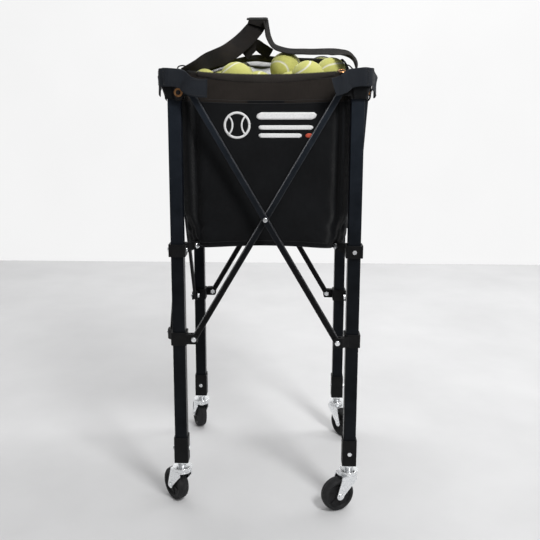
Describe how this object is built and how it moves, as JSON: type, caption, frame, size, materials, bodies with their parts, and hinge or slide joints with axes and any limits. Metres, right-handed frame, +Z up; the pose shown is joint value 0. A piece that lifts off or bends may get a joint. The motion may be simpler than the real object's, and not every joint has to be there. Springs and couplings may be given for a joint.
{
  "type": "folding tennis ball cart",
  "caption": "Folding tennis ball travel cart: square legs on swivel casters, scissor bars on each side, fabric ball bag with mesh lid and carry strap.",
  "frame": {"origin": "on the floor, under the middle of the square that the leg centres make", "axes": "+Z up, -Y towards the front of the cart, +X to the right of someone facing its front"},
  "size_m": [0.4397, 0.4492, 1.0206],
  "materials": {
    "leg_black": "satin black anodised tube",
    "bar_black": "satin black anodised bar",
    "black_plastic": "black moulded nylon, fine texture",
    "zinc_steel": "bright zinc plate",
    "grey_rubber": "dark grey rubber tread and core",
    "bag_fabric": "black woven polyester, coated inside",
    "zip_black": "zip tape and coil",
    "mesh_black": "open black net",
    "webbing_black": "ribbed polyester webbing",
    "eyelet_brass": "polished",
    "ball_felt": "yellow felt with white seam"
  },
  "bodies": {
    "leg_fl": {"leg_fl": "leg_black", "foot_sleeve_fl": "black_plastic", "top_bracket_fl": "black_plastic", "mid_bracket_fl": "black_plastic", "leg_bolts_fl": "zinc_steel", "caster_stem_fl": "zinc_steel"},
    "slider_fl": {"slider_fl": "black_plastic", "slider_bolts_fl": "zinc_steel"},
    "caster_fork_fl": {"caster_fork_fl": "zinc_steel"},
    "caster_wheel_fl": {"caster_wheel_fl": "grey_rubber"},
    "leg_fr": {"leg_fr": "leg_black", "foot_sleeve_fr": "black_plastic", "top_bracket_fr": "black_plastic", "mid_bracket_fr": "black_plastic", "leg_bolts_fr": "zinc_steel", "caster_stem_fr": "zinc_steel"},
    "slider_fr": {"slider_fr": "black_plastic", "slider_bolts_fr": "zinc_steel"},
    "caster_fork_fr": {"caster_fork_fr": "zinc_steel"},
    "caster_wheel_fr": {"caster_wheel_fr": "grey_rubber"},
    "leg_rr": {"leg_rr": "leg_black", "foot_sleeve_rr": "black_plastic", "top_bracket_rr": "black_plastic", "mid_bracket_rr": "black_plastic", "leg_bolts_rr": "zinc_steel", "caster_stem_rr": "zinc_steel"},
    "slider_rr": {"slider_rr": "black_plastic", "slider_bolts_rr": "zinc_steel"},
    "caster_fork_rr": {"caster_fork_rr": "zinc_steel"},
    "caster_wheel_rr": {"caster_wheel_rr": "grey_rubber"},
    "leg_rl": {"leg_rl": "leg_black", "foot_sleeve_rl": "black_plastic", "top_bracket_rl": "black_plastic", "mid_bracket_rl": "black_plastic", "leg_bolts_rl": "zinc_steel", "caster_stem_rl": "zinc_steel"},
    "slider_rl": {"slider_rl": "black_plastic", "slider_bolts_rl": "zinc_steel"},
    "caster_fork_rl": {"caster_fork_rl": "zinc_steel"},
    "caster_wheel_rl": {"caster_wheel_rl": "grey_rubber"},
    "bar_outer_front": {"bar_outer_front": "bar_black", "rivet_front": "zinc_steel"},
    "bar_inner_front": {"bar_inner_front": "bar_black"},
    "bar_outer_right": {"bar_outer_right": "bar_black", "rivet_right": "zinc_steel"},
    "bar_inner_right": {"bar_inner_right": "bar_black"},
    "bar_outer_rear": {"bar_outer_rear": "bar_black", "rivet_rear": "zinc_steel"},
    "bar_inner_rear": {"bar_inner_rear": "bar_black"},
    "bar_outer_left": {"bar_outer_left": "bar_black", "rivet_left": "zinc_steel"},
    "bar_inner_left": {"bar_inner_left": "bar_black"},
    "bag": {"bag_shell": "bag_fabric", "bag_zip": "zip_black", "bag_lid": "mesh_black", "corner_wraps": "webbing_black", "eyelets": "eyelet_brass", "tennis_balls": "ball_felt", "carry_strap": "webbing_black", "strap_buckle": "black_plastic"}
  },
  "joints": [
    {"name": "frame_fold", "type": "hinge", "parent": "leg_fl", "child": "bar_outer_front", "pos_m": [-0.145, -0.1912, 0.86726], "axis": [0, 1, 0], "range_deg": [0, 26.3]},
    {"name": "front_cross", "type": "hinge", "parent": "bar_outer_front", "child": "bar_inner_front", "pos_m": [0, -0.1912, 0.619], "axis": [0, 1, 0], "range_deg": [-52.65, 0]},
    {"name": "front_leg_pin", "type": "hinge", "parent": "bar_inner_front", "child": "leg_fr", "pos_m": [0.145, -0.1912, 0.86726], "axis": [0, 1, 0], "range_deg": [0, 26.35]},
    {"name": "left_top_pin", "type": "hinge", "parent": "leg_fl", "child": "bar_inner_left", "pos_m": [-0.1912, -0.145, 0.86726], "axis": [1, 0, 0], "range_deg": [-26.35, 0]},
    {"name": "left_cross", "type": "hinge", "parent": "bar_inner_left", "child": "bar_outer_left", "pos_m": [-0.1912, 0, 0.619], "axis": [1, 0, 0], "range_deg": [0, 52.65]},
    {"name": "left_leg_pin", "type": "hinge", "parent": "bar_outer_left", "child": "leg_rl", "pos_m": [-0.1912, 0.145, 0.86726], "axis": [1, 0, 0], "range_deg": [-26.35, 0]},
    {"name": "right_top_pin", "type": "hinge", "parent": "leg_fr", "child": "bar_outer_right", "pos_m": [0.1912, -0.145, 0.86726], "axis": [-1, 0, 0], "range_deg": [0, 26.35]},
    {"name": "right_cross", "type": "hinge", "parent": "bar_outer_right", "child": "bar_inner_right", "pos_m": [0.1912, 0, 0.619], "axis": [-1, 0, 0], "range_deg": [-52.65, 0]},
    {"name": "right_leg_pin", "type": "hinge", "parent": "bar_inner_right", "child": "leg_rr", "pos_m": [0.1912, 0.145, 0.86726], "axis": [-1, 0, 0], "range_deg": [0, 26.35]},
    {"name": "rear_top_pin", "type": "hinge", "parent": "leg_rl", "child": "bar_inner_rear", "pos_m": [-0.145, 0.1912, 0.86726], "axis": [0, -1, 0], "range_deg": [-26.35, 0]},
    {"name": "rear_cross", "type": "hinge", "parent": "bar_inner_rear", "child": "bar_outer_rear", "pos_m": [0, 0.1912, 0.619], "axis": [0, -1, 0], "range_deg": [0, 52.65]},
    {"name": "slider_pin_fl", "type": "hinge", "parent": "bar_inner_front", "child": "slider_fl", "pos_m": [-0.145, -0.1912, 0.37074], "axis": [0, 1, 0], "range_deg": [0, 26.35]},
    {"name": "slider_pin_fr", "type": "hinge", "parent": "bar_outer_front", "child": "slider_fr", "pos_m": [0.145, -0.1912, 0.37074], "axis": [0, 1, 0], "range_deg": [-26.35, 0]},
    {"name": "slider_pin_rl", "type": "hinge", "parent": "bar_inner_left", "child": "slider_rl", "pos_m": [-0.1912, 0.145, 0.37074], "axis": [1, 0, 0], "range_deg": [0, 26.35]},
    {"name": "slider_pin_rr", "type": "hinge", "parent": "bar_outer_right", "child": "slider_rr", "pos_m": [0.1912, 0.145, 0.37074], "axis": [-1, 0, 0], "range_deg": [-26.35, 0]},
    {"name": "caster_swivel_fl", "type": "hinge", "parent": "leg_fl", "child": "caster_fork_fl", "pos_m": [-0.176, -0.176, 0.078], "axis": [0, 0, 1], "continuous": true},
    {"name": "wheel_spin_fl", "type": "hinge", "parent": "caster_fork_fl", "child": "caster_wheel_fl", "pos_m": [-0.19271, -0.15608, 0.035], "axis": [-0.766, -0.6428, 0], "continuous": true},
    {"name": "caster_swivel_fr", "type": "hinge", "parent": "leg_fr", "child": "caster_fork_fr", "pos_m": [0.176, -0.176, 0.078], "axis": [0, 0, 1], "continuous": true},
    {"name": "wheel_spin_fr", "type": "hinge", "parent": "caster_fork_fr", "child": "caster_wheel_fr", "pos_m": [0.15244, -0.18699, 0.035], "axis": [0.4226, -0.9063, 0], "continuous": true},
    {"name": "caster_swivel_rr", "type": "hinge", "parent": "leg_rr", "child": "caster_fork_rr", "pos_m": [0.176, 0.176, 0.078], "axis": [0, 0, 1], "continuous": true},
    {"name": "wheel_spin_rr", "type": "hinge", "parent": "caster_fork_rr", "child": "caster_wheel_rr", "pos_m": [0.19091, 0.1547, 0.035], "axis": [0.8192, 0.5736, 0], "continuous": true},
    {"name": "caster_swivel_rl", "type": "hinge", "parent": "leg_rl", "child": "caster_fork_rl", "pos_m": [-0.176, 0.176, 0.078], "axis": [0, 0, 1], "continuous": true},
    {"name": "wheel_spin_rl", "type": "hinge", "parent": "caster_fork_rl", "child": "caster_wheel_rl", "pos_m": [-0.18489, 0.20043, 0.035], "axis": [-0.9397, -0.342, 0], "continuous": true},
    {"name": "bag_lift", "type": "slide", "parent": "leg_fl", "child": "bag", "axis": [0, 0, 1], "range_m": [0, 0.461], "deforming": ["bag_shell", "bag_lid", "bag_zip", "corner_wraps", "carry_strap"]}
  ],
  "couplings": [
    {"joint": "front_cross", "follows": "frame_fold", "ratio": -2},
    {"joint": "front_leg_pin", "follows": "frame_fold", "ratio": 1},
    {"joint": "left_top_pin", "follows": "frame_fold", "ratio": -1},
    {"joint": "left_cross", "follows": "frame_fold", "ratio": 2},
    {"joint": "left_leg_pin", "follows": "frame_fold", "ratio": -1},
    {"joint": "right_top_pin", "follows": "frame_fold", "ratio": 1},
    {"joint": "right_cross", "follows": "frame_fold", "ratio": -2},
    {"joint": "right_leg_pin", "follows": "frame_fold", "ratio": 1},
    {"joint": "rear_top_pin", "follows": "frame_fold", "ratio": -1},
    {"joint": "rear_cross", "follows": "frame_fold", "ratio": 2},
    {"joint": "slider_pin_fl", "follows": "frame_fold", "ratio": 1},
    {"joint": "slider_pin_fr", "follows": "frame_fold", "ratio": -1},
    {"joint": "slider_pin_rl", "follows": "frame_fold", "ratio": 1},
    {"joint": "slider_pin_rr", "follows": "frame_fold", "ratio": -1},
    {"joint": "bag_lift", "follows": "frame_fold", "m_per_rad": 1}
  ]
}
